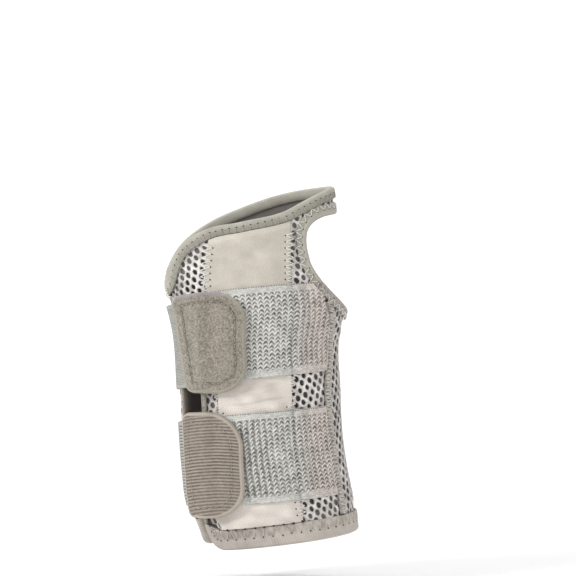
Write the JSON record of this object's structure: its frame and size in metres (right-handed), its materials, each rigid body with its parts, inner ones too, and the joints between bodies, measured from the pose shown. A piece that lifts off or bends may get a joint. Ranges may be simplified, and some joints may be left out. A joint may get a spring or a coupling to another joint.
{
  "type": "wrist brace",
  "caption": "Slip-on wrist brace in its worn form: honeycomb mesh sleeve with a thumb hole, a splint pocket on the palm side and hook-and-loop straps round the wrist and forearm.",
  "frame": {"origin": "middle of the wrist, inside the sleeve, at the narrowest section between hand and forearm", "axes": "+Z towards the fingers, -Y is the palm side, +X is the thumb side"},
  "size_m": [0.0839, 0.062, 0.1554],
  "materials": {
    "mesh": "pale grey honeycomb spacer mesh",
    "seam": "grey overlocked thread",
    "suede": "pale warm microsuede",
    "tape": "grey knitted edge tape",
    "hem": "warm grey elastic tape",
    "band": "grey knitted loop band",
    "strap": "grey ribbed elastic",
    "velour": "brushed olive-grey velour",
    "ribbed": "ribbed brown-grey grosgrain"
  },
  "bodies": {
    "root": {"palm_mesh": "mesh", "back_mesh": "mesh", "radial_seam": "seam", "ulnar_seam": "seam", "splint_pocket": "suede", "distal_binding": "tape", "thumb_binding": "tape", "slit_binding_palm": "tape", "slit_binding_back": "tape", "hem_binding": "hem", "upper_band": "band", "lower_band": "band", "upper_strap": "strap", "lower_strap": "strap", "upper_tab": "velour", "lower_tab": "ribbed"}
  },
  "joints": []
}
